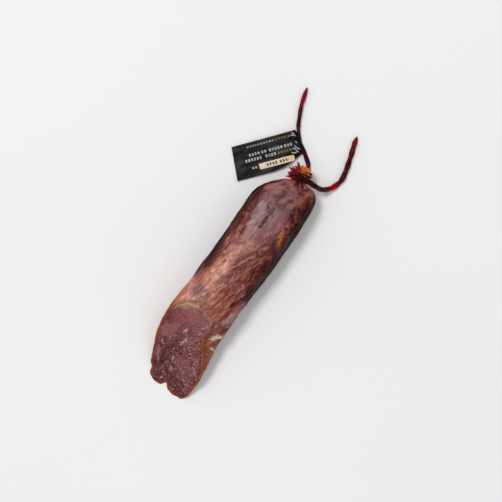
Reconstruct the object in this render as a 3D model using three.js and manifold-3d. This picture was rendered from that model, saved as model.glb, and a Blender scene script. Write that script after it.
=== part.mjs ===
// Half a cured pork loin in its casing, tied with a cord and labelled, lying on a flat surface.
// Millimetres, +Z up. The tied end points along +Y and the slanted cut faces -Y and up.
// The origin is under the middle of the tied loin, on the surface that it rests on.
import * as THREE from "three";
import { mergeVertices } from "three/addons/utils/BufferGeometryUtils.js";
import { ParametricGeometry } from "three/addons/geometries/ParametricGeometry.js";
import Module from "manifold-3d";

// Driving dimensions
const LOIN_LENGTH = 249.8; // from the tip of the cut to the rounded tied end
const LOIN_WIDTH = 61;
const LOIN_THICKNESS = 46;
const SECTION_POWER = 2.3; // 2 is an ellipse, and more is squarer
const TIED_END_LENGTH = 43; // the stretch that rounds off to the tied end
const TIED_END_POWER = 2.4;
const SPARE_END_LENGTH = 26; // the rounded stretch past the tip, which the cut takes off
const FOOT_DEPTH = 2; // how much of the underside is pressed flat

const CUT_LENGTH = 88; // from the tip to the top of the cut face
const CUT_LEAN = 0.13; // how far the cut rises for each millimetre to the right
const CUT_TIP_SHIFT = 8; // the tip's place to the right of the middle

const CASING_WALL = 0.8;
const CLEARANCE = 0.3; // between pieces that touch

const NECK_RADIUS = 5;
const NECK_LENGTH = 6;
const NECK_FLARE = 9; // radius where the neck grows out of the rounded end
const NECK_TAPER = 3; // the length over which that radius shrinks to the neck's
const NECK_SHIFT = 7.3; // to the right of the middle
const NECK_HEIGHT = 21;
const NECK_LEAN_DEG = 15;
const TUFT_LENGTH = 10; // the gathered end beyond the neck
const TUFT_RADIUS = 11;
const TUFT_PLEATS = 8;
const PLEAT_DEPTH = 0.16; // as a share of the radius

const CORD_DIAMETER = 4.6;
const KNOT_RADIUS = 4;
const KNOT_PLACE = [2.5, 0.6]; // right of the neck and out from the middle of the tie
const KNOT_DROP = 1.4; // of the knot's middle below the turn of cord

const LABEL_LENGTH = 67;
const LABEL_WIDTH = 35;
const LABEL_END_WIDTH = 24; // at the cord, where the label is narrower
const LABEL_CORNER_LENGTH = 36; // of the curve between that end and the lower edge
const LABEL_SKEW = 3; // how far the bottom of the far edge leans out
const LABEL_THICKNESS = 0.7;
const LABEL_TURN_DEG = 47; // from +X to the label's long edge
const LABEL_LIFT = 0.2; // keeps its low edge off the surface
const LABEL_PLACE = [-30.6, 40.3]; // from the tie to the label's top corner at the cord, in plan

// Sizes that follow from those
const TIE_PLACE = LOIN_LENGTH + CORD_DIAMETER / 2 + CLEARANCE; // the middle of the tie, from the tip
const RING_RADIUS = NECK_RADIUS + CLEARANCE + CORD_DIAMETER / 2;
const RING_TOP = NECK_HEIGHT + RING_RADIUS;
const LIES_AT = CORD_DIAMETER / 2 + CLEARANCE;
const LABEL_RISE = CORD_DIAMETER + 3 * CLEARANCE; // of its end, which lies over the cord

// Smoothness
const ROUND_STEPS = 32;
const LENGTH_STEPS = 42;
const END_CROWDING = 0.55; // how much closer the steps stand near both ends, from 0 to 1
const CORD_SIDES = 8;
const CORD_STEP = CORD_DIAMETER; // short, because the cord bends tightly

const wasm = await Module();
wasm.setup();
const { clamp, degToRad, lerp, radToDeg } = THREE.MathUtils;

// The loin's shape along its length: each row is the share of the length from the tip,
// the middle's shift to the right and the half width as shares of the width,
// and the underside and the top as shares of the thickness. An underside below 0 is pressed flat.
const STATIONS = [
  [-0.12, 0.02, 0.45, -0.06, 0.86],
  [0.0, 0.02, 0.484, -0.07, 0.9],
  [0.1, -0.003, 0.484, -0.03, 0.96],
  [0.22, -0.077, 0.502, 0.0, 1.0],
  [0.42, -0.057, 0.502, 0.0, 1.0],
  [0.6, 0.018, 0.5, 0.0, 0.99],
  [0.78, 0.057, 0.507, 0.0, 0.97],
  [0.9, 0.09, 0.5, 0.02, 0.93],
  [0.97, 0.19, 0.5, 0.05, 0.88],
  [1.0, 0.25, 0.49, 0.08, 0.85],
];

// Hollows in the outside: the share of the length and the angle from +X that each is centred on,
// half its length as a share, half its angle, and its depth in mm.
const HOLLOWS = [
  [0.24, 37, 0.14, 37, 8.5], // the sunken right shoulder beside the cut
  [0.17, 17, 0.09, 20, 5.5], // and its flank lower down
  [0.0, 268, 0.14, 15, 6.5], // the groove between the two muscles under the tip
  [0.44, 172, 0.07, 40, 1.4], // a shallow waist on the left
];

const profile = new THREE.CubicInterpolant(
  STATIONS.map((row) => row[0]),
  STATIONS.flatMap((row) => row.slice(1)),
  STATIONS[0].length - 1,
);

// 1 in the middle of a bump and 0 at its edges.
function bump(distance) {
  return distance < 1 ? Math.cos((distance * Math.PI) / 2) ** 2 : 0;
}

function hollowDepth(share, angle) {
  return HOLLOWS.reduce((depth, [at, towards, halfLength, halfAngle, most]) => {
    const turn = Math.abs(((angle - towards + 540) % 360) - 180);
    return depth + most * bump(Math.abs(share - at) / halfLength) * bump(turn / halfAngle);
  }, 0);
}

// 1 along the loin, falling to 0 as an arc at each end.
function endRounding(share) {
  const past = 1 - (1 - share) * (LOIN_LENGTH / TIED_END_LENGTH);
  const before = (-share * LOIN_LENGTH) / SPARE_END_LENGTH;
  if (past > 0) return (1 - Math.min(past, 1) ** TIED_END_POWER) ** (1 / TIED_END_POWER);
  if (before > 0) return Math.sqrt(1 - Math.min(before, 1) ** 2);
  return 1;
}

// A closed skin that lies inset inside the loin's outside. u runs along it and v round it.
function loinSkin(inset) {
  const first = -SPARE_END_LENGTH / LOIN_LENGTH;
  const skinPoint = (u, v, target) => {
    const eased = u - (END_CROWDING * Math.sin(2 * Math.PI * u)) / (2 * Math.PI);
    const share = lerp(first, 1, eased);
    const [shift, halfWidth, under, top] = profile.evaluate(share);
    const cap = endRounding(share);
    const angle = 2 * Math.PI * v;
    const [c, s] = [Math.cos(angle), Math.sin(angle)];
    const middle = ((under + top) / 2) * LOIN_THICKNESS;
    const halfHeight = ((top - under) / 2) * LOIN_THICKNESS + FOOT_DEPTH / 2;
    const dent = inset + hollowDepth(share, radToDeg(angle));
    const power = 2 / SECTION_POWER;
    const across = (halfWidth * LOIN_WIDTH - dent) * cap * Math.sign(c) * Math.abs(c) ** power;
    const up = (halfHeight - dent) * cap * Math.sign(s) * Math.abs(s) ** power;
    const ends = inset * (clamp((share - 0.5) * 2, 0, 1) - clamp((0.1 - share) * 10, 0, 1));
    target.set(
      shift * LOIN_WIDTH + across,
      share * LOIN_LENGTH - ends,
      Math.max(middle - FOOT_DEPTH / 2 + up, inset),
    );
  };
  return new ParametricGeometry(skinPoint, LENGTH_STEPS, ROUND_STEPS);
}

// A closed three.js geometry as a manifold-3d solid, wherever its matrix puts it.
function solid(geometry, matrix = new THREE.Matrix4()) {
  const bare = geometry.index ? geometry.toNonIndexed() : geometry.clone();
  for (const name of ["normal", "uv"]) bare.deleteAttribute(name);
  const merged = mergeVertices(bare.applyMatrix4(matrix), 1e-4);
  const corners = Array.from(merged.index.array);
  const triVerts = [];
  for (let i = 0; i < corners.length; i += 3) {
    const [a, b, c] = corners.slice(i, i + 3);
    if (a !== b && b !== c && c !== a) triVerts.push(a, b, c);
  }
  const vertProperties = merged.attributes.position.array;
  return new wasm.Manifold(
    new wasm.Mesh({ numProp: 3, vertProperties, triVerts: new Uint32Array(triVerts) }),
  );
}

function geometryOf(made) {
  const mesh = made.getMesh();
  const geometry = new THREE.BufferGeometry();
  geometry.setAttribute("position", new THREE.BufferAttribute(mesh.vertProperties, 3));
  geometry.setIndex(new THREE.BufferAttribute(mesh.triVerts, 1));
  geometry.computeVertexNormals();
  return geometry;
}

// Everything above the slanted cut, as one big block.
function cutBlock() {
  const rise = LOIN_THICKNESS / CUT_LENGTH;
  const normal = new THREE.Vector3(-CUT_LEAN, -rise, 1).normalize();
  const reach = 4 * LOIN_WIDTH + CUT_LENGTH;
  const block = new THREE.BoxGeometry(reach, reach, reach).translate(0, 0, reach / 2);
  const turn = new THREE.Quaternion().setFromUnitVectors(new THREE.Vector3(0, 0, 1), normal);
  const tip = new THREE.Vector3(CUT_TIP_SHIFT, 0, 0);
  return solid(block, new THREE.Matrix4().compose(tip, turn, new THREE.Vector3(1, 1, 1)));
}

// The neck's own frame: its origin is the middle of the tie, and its +Y runs out of the loin.
function neckMatrix() {
  const place = new THREE.Matrix4().makeTranslation(NECK_SHIFT, TIE_PLACE, NECK_HEIGHT);
  return place.multiply(new THREE.Matrix4().makeRotationZ(degToRad(NECK_LEAN_DEG)));
}

// The gathered casing beyond the rounded end: a flare, the tied neck and the spread tuft.
function gatheredEnd() {
  const half = NECK_LENGTH / 2;
  const outline = [
    [0, -NECK_FLARE - half],
    [NECK_FLARE, -NECK_FLARE - half],
    [NECK_FLARE * 0.8, -half - NECK_TAPER],
    [NECK_RADIUS, -half],
    [NECK_RADIUS, half],
    [TUFT_RADIUS * 0.62, half + TUFT_LENGTH * 0.2],
    [TUFT_RADIUS * 0.93, half + TUFT_LENGTH * 0.6],
    [TUFT_RADIUS, half + TUFT_LENGTH * 0.85],
    [TUFT_RADIUS * 0.7, half + TUFT_LENGTH],
    [0, half + TUFT_LENGTH * 0.94],
  ];
  const lathe = new THREE.LatheGeometry(
    outline.map(([radius, height]) => new THREE.Vector2(radius, height)),
    4 * TUFT_PLEATS,
  );
  const places = lathe.attributes.position;
  for (let i = 0; i < places.count; i += 1) {
    const spread = clamp((places.getY(i) - half) / TUFT_LENGTH, 0, 1);
    const turn = Math.atan2(places.getX(i), places.getZ(i));
    const pleat = 1 + PLEAT_DEPTH * spread * Math.cos(TUFT_PLEATS * turn);
    places.setX(i, places.getX(i) * pleat);
    places.setZ(i, places.getZ(i) * pleat);
  }
  return solid(lathe, neckMatrix());
}

function meatSolid() {
  return solid(loinSkin(CASING_WALL + CLEARANCE)).subtract(cutBlock());
}

function casingSolid() {
  const whole = solid(loinSkin(0)).add(gatheredEnd());
  return whole.subtract(solid(loinSkin(CASING_WALL))).subtract(cutBlock());
}

// A stretch of a curve, by shares of its length.
class Stretch extends THREE.Curve {
  constructor(whole, from, to) {
    super();
    Object.assign(this, { whole, from, to });
  }
  getPoint(t, target = new THREE.Vector3()) {
    return target.copy(this.whole.getPointAt(lerp(this.from, this.to, t)));
  }
}

// The cord's two free ends: points from the middle of the tie in plan, with heights above the surface.
// Each route begins inside the tie and runs out over the surface to its cut end. The one that goes up
// passes under the label's end.
const SIDE_ROUTE = [
  [0, 0, RING_TOP],
  [5.2, 0.5, RING_TOP],
  [10.7, 1.2, RING_TOP - 1.2],
  [16.8, 1.3, RING_TOP - 5.6],
  [22.7, 2, RING_TOP - 13],
  [27.2, 4.7, LIES_AT + 7.2],
  [31, 8.4, LIES_AT + 2.4],
  [33.9, 13.4, LIES_AT + 0.3],
  [35.7, 18.8, LIES_AT],
  [36.1, 24, LIES_AT],
  [35.6, 28.9, LIES_AT],
  [34.7, 33.9, LIES_AT],
  [33.5, 39.2, LIES_AT],
  [32.2, 44.3, LIES_AT],
  [30.8, 49.4, LIES_AT],
  [29.3, 54.4, LIES_AT],
  [27.9, 59.5, LIES_AT],
  [26.9, 64.7, LIES_AT],
];
const UP_ROUTE = [
  [3, 1, 13.2],
  [3.4, 3.5, 11.2],
  [3.1, 6.5, 8.6],
  [2.5, 9.5, 6],
  [1.8, 12.3, LIES_AT + 1.2],
  [0.7, 15, LIES_AT],
  [-1.4, 18, LIES_AT],
  [-4.9, 21.2, LIES_AT],
  [-9.1, 24.5, LIES_AT],
  [-13.6, 27.6, LIES_AT],
  [-18, 30.8, LIES_AT],
  [-22, 34.4, LIES_AT],
  [-25.4, 38.2, LIES_AT],
  [-28.3, 42.4, LIES_AT],
  [-30.8, 46.8, LIES_AT],
  [-33, 51.4, LIES_AT],
  [-37, 60.8, LIES_AT],
  [-40.3, 70.8, LIES_AT],
  [-42.4, 80.2, LIES_AT],
];
const SIDE_TIED = 0.125; // the share of each route that belongs to the tie
const UP_TIED = 0.07;

function route(points) {
  const tie = new THREE.Vector3().setFromMatrixPosition(neckMatrix());
  return new THREE.CatmullRomCurve3(points.map(([x, y, z]) => new THREE.Vector3(tie.x + x, tie.y + y, z)));
}

function cordTube(curve) {
  const section = new THREE.Shape().absarc(0, 0, CORD_DIAMETER / 2, 0, 2 * Math.PI);
  const steps = Math.max(3, Math.round(curve.getLength() / CORD_STEP));
  return new THREE.ExtrudeGeometry(section, {
    steps,
    curveSegments: CORD_SIDES,
    extrudePath: curve,
  });
}

// The turn of cord round the neck, its knot, and the start of both free ends.
function tieSolid() {
  const ring = new THREE.TorusGeometry(RING_RADIUS, CORD_DIAMETER / 2, CORD_SIDES, 32).rotateX(Math.PI / 2);
  const knot = new THREE.SphereGeometry(KNOT_RADIUS, 16, 10)
    .scale(1, 0.85, 1)
    .translate(...KNOT_PLACE, -RING_RADIUS - KNOT_DROP);
  const starts = [
    [SIDE_ROUTE, SIDE_TIED],
    [UP_ROUTE, UP_TIED],
  ].map(([points, share]) => solid(cordTube(new Stretch(route(points), 0, share))));
  return starts.reduce(
    (whole, start) => whole.add(start),
    solid(ring, neckMatrix()).add(solid(knot, neckMatrix())),
  );
}

function freeEnd(points, tiedShare) {
  const whole = route(points);
  const from = tiedShare + CLEARANCE / whole.getLength();
  return solid(cordTube(new Stretch(whole, from, 1)));
}

// A flat label. Its far edge rests on the surface and its near end on the cord.
// Its own origin is its top corner at the cord, with +X along its top edge.
function labelSolid() {
  const outline = new THREE.Shape();
  const bend = 0.4 * LABEL_CORNER_LENGTH;
  outline.moveTo(-LABEL_LENGTH, 0);
  outline.lineTo(-LABEL_LENGTH - LABEL_SKEW, -LABEL_WIDTH);
  outline.lineTo(-LABEL_CORNER_LENGTH, -LABEL_WIDTH);
  outline.quadraticCurveTo(-bend, -LABEL_WIDTH + 1, 1, -LABEL_END_WIDTH);
  outline.lineTo(1, -0.4 * LABEL_END_WIDTH);
  outline.lineTo(0, 0);
  const plate = new THREE.ExtrudeGeometry(outline, {
    depth: LABEL_THICKNESS,
    bevelEnabled: false,
    curveSegments: 8,
  });
  plate.rotateY(-Math.asin(LABEL_RISE / (LABEL_LENGTH + LABEL_SKEW))).rotateZ(degToRad(LABEL_TURN_DEG));
  const [right, out] = LABEL_PLACE;
  const corner = new THREE.Vector3(NECK_SHIFT + right, TIE_PLACE + out, LABEL_RISE + LABEL_LIFT);
  return solid(plate, new THREE.Matrix4().setPosition(corner));
}

const meat = new THREE.MeshStandardMaterial({ color: 0x6e3a3c, roughness: 0.55, metalness: 0 });
const skin = new THREE.MeshStandardMaterial({ color: 0x8a4a3a, roughness: 0.35, metalness: 0 });
const cord = new THREE.MeshStandardMaterial({ color: 0x4a0d10, roughness: 0.45, metalness: 0 });
const card = new THREE.MeshStandardMaterial({ color: 0x17171a, roughness: 0.4, metalness: 0 });

function named(name, made, material) {
  const mesh = new THREE.Mesh(geometryOf(made), material);
  mesh.name = name;
  return mesh;
}

const tied = [
  named("loin_meat", meatSolid(), meat),
  named("casing", casingSolid(), skin),
  named("cord_tie", tieSolid(), cord),
];
const loose = [
  named("cord_end_side", freeEnd(SIDE_ROUTE, SIDE_TIED), cord),
  named("cord_end_up", freeEnd(UP_ROUTE, UP_TIED), cord),
  named("label", labelSolid(), card),
];

// The origin goes under the middle of the tied loin.
const box = tied.reduce((whole, mesh) => whole.expandByObject(mesh), new THREE.Box3());
const centre = box.getCenter(new THREE.Vector3());
const group = new THREE.Group();
group.add(...tied, ...loose);
group.position.set(-centre.x, -centre.y, -box.min.z);

export default group;
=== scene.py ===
"""Half a cured pork loin in its casing, tied with a cord and labelled, lying on a pale floor.

The shapes are worked out in millimetres in the row frame: +Y runs to the tied end, +X to the right
seen from above, and +Z up. They become metres when a mesh is made.
"""
import math

import bmesh
import bpy
import numpy as np
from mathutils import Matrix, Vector, geometry


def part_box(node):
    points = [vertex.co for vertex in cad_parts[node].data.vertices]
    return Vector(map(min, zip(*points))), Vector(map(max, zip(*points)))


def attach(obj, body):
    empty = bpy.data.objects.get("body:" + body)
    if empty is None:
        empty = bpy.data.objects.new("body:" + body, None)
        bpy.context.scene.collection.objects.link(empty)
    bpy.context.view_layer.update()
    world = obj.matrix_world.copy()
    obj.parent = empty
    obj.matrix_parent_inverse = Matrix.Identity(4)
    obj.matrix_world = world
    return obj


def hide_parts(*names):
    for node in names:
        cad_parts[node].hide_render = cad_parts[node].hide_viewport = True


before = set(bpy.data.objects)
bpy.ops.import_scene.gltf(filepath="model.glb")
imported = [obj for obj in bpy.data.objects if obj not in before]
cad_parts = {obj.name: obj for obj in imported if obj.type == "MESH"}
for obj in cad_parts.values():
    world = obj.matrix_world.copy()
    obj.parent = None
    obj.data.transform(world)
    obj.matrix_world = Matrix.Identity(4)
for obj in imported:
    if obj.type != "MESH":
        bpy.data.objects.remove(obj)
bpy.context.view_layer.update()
MM = 0.001

# ---------------------------------------------------------------- sizes, as in the CAD model
LOIN_LENGTH = 249.8
LOIN_WIDTH = 61
LOIN_THICKNESS = 46
SECTION_POWER = 2.3
TIED_END_LENGTH = 43
TIED_END_POWER = 2.4
FOOT_DEPTH = 2
CUT_LENGTH = 88
CUT_LEAN = 0.13
CUT_TIP_SHIFT = 8
CUT_RISE = LOIN_THICKNESS / CUT_LENGTH
CASING_WALL = 0.8
CLEARANCE = 0.3
CORD_DIAMETER = 4.6
NECK_RADIUS = 5
NECK_SHIFT = 7.3
NECK_HEIGHT = 21
NECK_LEAN = math.radians(15)
RING_RADIUS = NECK_RADIUS + CLEARANCE + CORD_DIAMETER / 2
RING_TOP = NECK_HEIGHT + RING_RADIUS
LIES_AT = CORD_DIAMETER / 2 + CLEARANCE
LABEL_LENGTH = 67
LABEL_WIDTH = 35
LABEL_END_WIDTH = 24
LABEL_CORNER_LENGTH = 36
LABEL_SKEW = 3
LABEL_TURN = math.radians(47)
LABEL_LIFT = 0.2
LABEL_RISE = CORD_DIAMETER + 3 * CLEARANCE
LABEL_PLACE = (-30.6, 40.3)

# Each row: share of the length, shift and half width as shares of the width,
# underside and top as shares of the thickness.
STATIONS = np.array([
    [-0.12, 0.02, 0.45, -0.06, 0.86],
    [0.0, 0.02, 0.484, -0.07, 0.9],
    [0.1, -0.003, 0.484, -0.03, 0.96],
    [0.22, -0.077, 0.502, 0.0, 1.0],
    [0.42, -0.057, 0.502, 0.0, 1.0],
    [0.6, 0.018, 0.5, 0.0, 0.99],
    [0.78, 0.057, 0.507, 0.0, 0.97],
    [0.9, 0.09, 0.5, 0.02, 0.93],
    [0.97, 0.19, 0.5, 0.05, 0.88],
    [1.0, 0.25, 0.49, 0.08, 0.85],
])

# Each hollow: share of the length, angle from +X, half length, half angle and depth in mm.
HOLLOWS = [
    (0.24, 37, 0.14, 37, 8.5),
    (0.17, 17, 0.09, 20, 5.5),
    (0.0, 268, 0.14, 15, 6.5),
    (0.44, 172, 0.07, 40, 1.4),
]


# ---------------------------------------------------------------- small tools
def linear(colour):
    """An sRGB colour from 0 to 255 as linear values."""
    c = np.asarray(colour, float) / 255
    return np.where(c <= 0.04045, c / 12.92, ((c + 0.055) / 1.055) ** 2.4)


def smooth(low, high, value):
    t = np.clip((value - low) / (high - low), 0, 1)
    return t * t * (3 - 2 * t)


def lattice(cells, seed):
    """One number from -1 to 1 for each whole-numbered point."""
    mixed = cells @ np.array([374761393, 668265263, 1274126177]) + seed * 974634777
    mixed = (mixed ^ (mixed >> 13)) * 1103515245
    mixed = (mixed ^ (mixed >> 16)) * 12345791
    return ((mixed ^ (mixed >> 15)) & 0xFFFFF) / 0x7FFFF - 1


def noise(points, size, seed=0):
    """Smooth noise from about -1 to 1, with lumps of that size, or sizes along X, Y and Z."""
    scaled = np.asarray(points, float) / np.asarray(size, float)
    cell = np.floor(scaled).astype(np.int64)
    part = scaled - cell
    part = part * part * part * (part * (part * 6 - 15) + 10)
    total = 0
    for corner in np.ndindex(2, 2, 2):
        weight = np.prod(np.where(corner, part, 1 - part), axis=1)
        total = total + weight * lattice(cell + np.array(corner), seed)
    return total


def fractal(points, size, octaves=4, seed=0):
    size = np.asarray(size, float)
    layers = [noise(points, size / 2**k, seed + k) / 2**k for k in range(octaves)]
    return sum(layers)


def turned(points, degrees):
    """The points in axes turned about Z, so that noise can be stretched along a slant."""
    a = math.radians(degrees)
    x = points[:, 0] * math.cos(a) + points[:, 1] * math.sin(a)
    y = -points[:, 0] * math.sin(a) + points[:, 1] * math.cos(a)
    return np.stack([x, y, points[:, 2]], 1)


def curve_points(points, step=1.5):
    """A smooth curve through given points, sampled about every step."""
    p = np.asarray(points, float)
    p = np.vstack([2 * p[0] - p[1], p, 2 * p[-1] - p[-2]])
    found = []
    for a, b, c, d in zip(p, p[1:], p[2:], p[3:]):
        count = max(2, int(np.linalg.norm(c - b) / step))
        t = np.linspace(0, 1, count, endpoint=False)[:, None]
        found.append(
            0.5 * (2 * b + (c - a) * t + (2 * a - 5 * b + 4 * c - d) * t**2 + (3 * b - a - 3 * c + d) * t**3)
        )
    return np.vstack(found + [p[-2:-1]])


def stroke(plan, points, width, fade=4.0):
    """1 on a line drawn in plan, falling to 0 at about twice its width, and thinner at its ends."""
    line = curve_points(points, 1.0)
    far = np.full(len(plan), 1e9)
    where = np.zeros(len(plan))
    travelled = np.concatenate([[0], np.cumsum(np.linalg.norm(np.diff(line, axis=0), axis=1))])
    for a, b, start in zip(line, line[1:], travelled):
        along = b - a
        length = np.linalg.norm(along) + 1e-9
        t = np.clip(((plan - a) @ along) / length**2, 0, 1)
        gap = np.linalg.norm(plan - a - t[:, None] * along, axis=1)
        nearer = gap < far
        far = np.where(nearer, gap, far)
        where = np.where(nearer, start + t * length, where)
    ends = np.minimum(where, travelled[-1] - where)
    narrow = width * (0.35 + 0.65 * smooth(0, fade, ends))
    return np.exp(-((far / narrow) ** 2))


def spot(plan, centre, size, turn=0, soft=0.5):
    """1 inside an oval drawn in plan, falling to 0 over a soft edge."""
    a = math.radians(turn)
    d = plan - np.asarray(centre, float)
    x = (d[:, 0] * math.cos(a) + d[:, 1] * math.sin(a)) / size[0]
    y = (-d[:, 0] * math.sin(a) + d[:, 1] * math.cos(a)) / size[1]
    return 1 - smooth(1 - soft, 1 + soft, np.hypot(x, y))


def plain(colour, count):
    """The same colour for that many points."""
    return np.tile(linear(colour), (count, 1))


def paint(colours, colour, amount):
    """Lays a colour over the ones there, as strongly as amount says."""
    return colours + (linear(colour) - colours) * np.clip(amount, 0, 1)[:, None]


def layered(colours, *layers):
    """The colours with others laid over them in turn, each given with how strongly it lies."""
    for colour, amount in layers:
        colours = paint(colours, colour, amount)
    return colours


def richer(colours, amount):
    """The colours moved away from grey."""
    grey = colours.mean(1, keepdims=True)
    return np.clip(grey + (colours - grey) * amount, 0.002, 1)


def flat_points(x, y):
    """Points in space at level 0, from their places in plan."""
    return np.stack([x.ravel(), y.ravel(), np.zeros(x.size)], 1)


def ring_points(middle, across, up, radius, turn):
    """Points round a middle, each at its own radius and angle."""
    return middle + across * (radius * np.cos(turn))[..., None] + up * (radius * np.sin(turn))[..., None]


def set_attribute(mesh, name, values):
    """Keeps a colour or a number at each point, for the materials to read."""
    if values.ndim == 2:
        values = np.c_[values, np.ones(len(values))]
        attribute = mesh.attributes.new(name, "FLOAT_COLOR", "POINT")
        attribute.data.foreach_set("color", values.astype(np.float32).ravel())
    else:
        attribute = mesh.attributes.new(name, "FLOAT", "POINT")
        attribute.data.foreach_set("value", values.astype(np.float32))


def mesh_points(mesh):
    """The mesh's points in mm."""
    flat = np.zeros(len(mesh.vertices) * 3)
    mesh.vertices.foreach_get("co", flat)
    return flat.reshape(-1, 3) / MM


def move_points(mesh, points):
    """Moves the mesh's points to places in mm."""
    mesh.vertices.foreach_set("co", (points * MM).ravel())
    mesh.update()


def add_object(name, data):
    item = bpy.data.objects.new(name, data)
    bpy.context.scene.collection.objects.link(item)
    return item


def mesh_object(name, points, faces, **painted):
    """A smooth-shaded object from points in mm, with what is painted on it kept in attributes."""
    mesh = bpy.data.meshes.new(name)
    mesh.from_pydata((np.asarray(points) * MM).tolist(), [], faces)
    mesh.shade_smooth()
    for key, values in painted.items():
        set_attribute(mesh, key, values)
    return add_object(name, mesh)


def grid_faces(rows, columns, closed, flipped=False):
    """Quads of a grid of points, row by row; closed joins the last column to the first."""
    last = columns if closed else columns - 1
    index = np.arange(rows * columns).reshape(rows, columns)
    after = np.roll(index, -1, axis=1)
    quads = np.stack([index[:-1], after[:-1], after[1:], index[1:]], -1)
    quads = quads[:, :last].reshape(-1, 4)
    return (quads[:, ::-1] if flipped else quads).tolist()


def thicken(item, depth, offset):
    """Turns an open sheet into a closed one of that depth in mm."""
    modifier = item.modifiers.new("wall", "SOLIDIFY")
    modifier.thickness = depth * MM
    modifier.offset = offset
    modifier.use_rim = True


# ---------------------------------------------------------------- materials
class Tree:
    """A material's nodes, added one call at a time."""

    def __init__(self, name):
        self.material = bpy.data.materials.new(name)
        self.material.use_nodes = True
        self.nodes = self.material.node_tree.nodes
        self.links = self.material.node_tree.links
        self.shader = self.nodes["Principled BSDF"]

    def put(self, socket, value):
        if isinstance(value, bpy.types.NodeSocket):
            self.links.new(value, socket)
        else:
            socket.default_value = value

    def place(self, stretch=(1, 1, 1), turn=0):
        """Object coordinates in metres, stretched and turned about Z."""
        coordinates = self.nodes.new("ShaderNodeTexCoord")
        mapping = self.nodes.new("ShaderNodeMapping")
        mapping.inputs["Rotation"].default_value = (0, 0, math.radians(turn))
        mapping.inputs["Scale"].default_value = stretch
        self.links.new(coordinates.outputs["Object"], mapping.inputs["Vector"])
        return mapping.outputs["Vector"]

    def noise(self, per_mm, detail=4, place=None, rough=0.55, warp=0.0):
        """Noise with that many lumps in a millimetre."""
        node = self.nodes.new("ShaderNodeTexNoise")
        node.inputs["Scale"].default_value = per_mm * 1000
        node.inputs["Detail"].default_value = detail
        node.inputs["Roughness"].default_value = rough
        node.inputs["Distortion"].default_value = warp
        self.links.new(place or self.place(), node.inputs["Vector"])
        return node.outputs["Fac"]

    def ramp(self, value, stops):
        """A colour or a grey level for each value, from the stops on either side of it."""
        node = self.nodes.new("ShaderNodeValToRGB")
        elements = node.color_ramp.elements
        while len(elements) < len(stops):
            elements.new(0.5)
        for element, (at, colour) in zip(elements, stops):
            element.position = at
            level = linear(colour) if np.size(colour) == 3 else np.full(3, colour)
            element.color = (*level, 1)
        self.put(node.inputs["Fac"], value)
        return node.outputs["Color"]

    def times(self, a, b):
        node = self.nodes.new("ShaderNodeMath")
        node.operation = "MULTIPLY"
        self.put(node.inputs[0], a)
        self.put(node.inputs[1], b)
        return node.outputs[0]

    def mix(self, amount, a, b, blend="MIX"):
        node = self.nodes.new("ShaderNodeMix")
        node.data_type = "RGBA"
        node.blend_type = blend
        self.put(node.inputs[0], amount)
        self.put(node.inputs[6], a)
        self.put(node.inputs[7], b)
        return node.outputs[2]

    def shaded(self, colour, strength, value, stops):
        """The colour multiplied by a ramp, as strongly as strength says."""
        return self.mix(strength, colour, self.ramp(value, stops), "MULTIPLY")

    def read(self, name, output="Color"):
        node = self.nodes.new("ShaderNodeAttribute")
        node.attribute_name = name
        return node.outputs[output]

    def bump(self, height, depth_mm, before=None):
        node = self.nodes.new("ShaderNodeBump")
        node.inputs["Distance"].default_value = depth_mm * MM
        self.put(node.inputs["Height"], height)
        if before is not None:
            self.links.new(before, node.inputs["Normal"])
        return node.outputs["Normal"]

    def surface(self, colour, roughness, specular=0.5, normal=None, coat=0.0, coat_roughness=0.2):
        self.put(self.shader.inputs["Base Color"], colour)
        self.put(self.shader.inputs["Roughness"], roughness)
        self.shader.inputs["Specular IOR Level"].default_value = specular
        self.shader.inputs["Coat Weight"].default_value = coat
        self.shader.inputs["Coat Roughness"].default_value = coat_roughness
        if normal is not None:
            self.links.new(normal, self.shader.inputs["Normal"])


def rgba(colour):
    return (*linear(colour), 1)


def casing_material():
    """Dried, greasy skin over the meat: mottled, finely creased and softly glossy."""
    tree = Tree("dried_casing")
    mottle = tree.noise(0.16, 6, tree.place((1.5, 0.7, 1.2)), 0.65)
    colour = tree.shaded(tree.read("tint"), 0.8, mottle, [(0.3, 0.6), (0.5, 0.95), (0.7, 1.0)])
    fleck = tree.noise(0.9, 5, tree.place((1.4, 0.6, 1)), 0.7)
    colour = tree.shaded(colour, 0.7, fleck, [(0.34, 0.55), (0.5, 0.95), (0.66, 1.0)])
    fibres = tree.noise(0.4, 5, tree.place((1.9, 0.5, 1), -14), 0.65, 0.9)
    colour = tree.shaded(colour, 0.75, fibres, [(0.36, 0.5), (0.48, 0.97), (0.62, 1.0)])
    normal = tree.bump(tree.noise(1.6, 4), 0.4, tree.bump(fibres, 1.0))
    rough = tree.ramp(mottle, [(0.3, 0.36), (0.7, 0.54)])
    tree.surface(colour, rough, 0.03, normal, coat_roughness=0.33)
    tree.put(tree.shader.inputs["Coat Weight"], tree.read("worn", "Fac"))
    return tree.material


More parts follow.
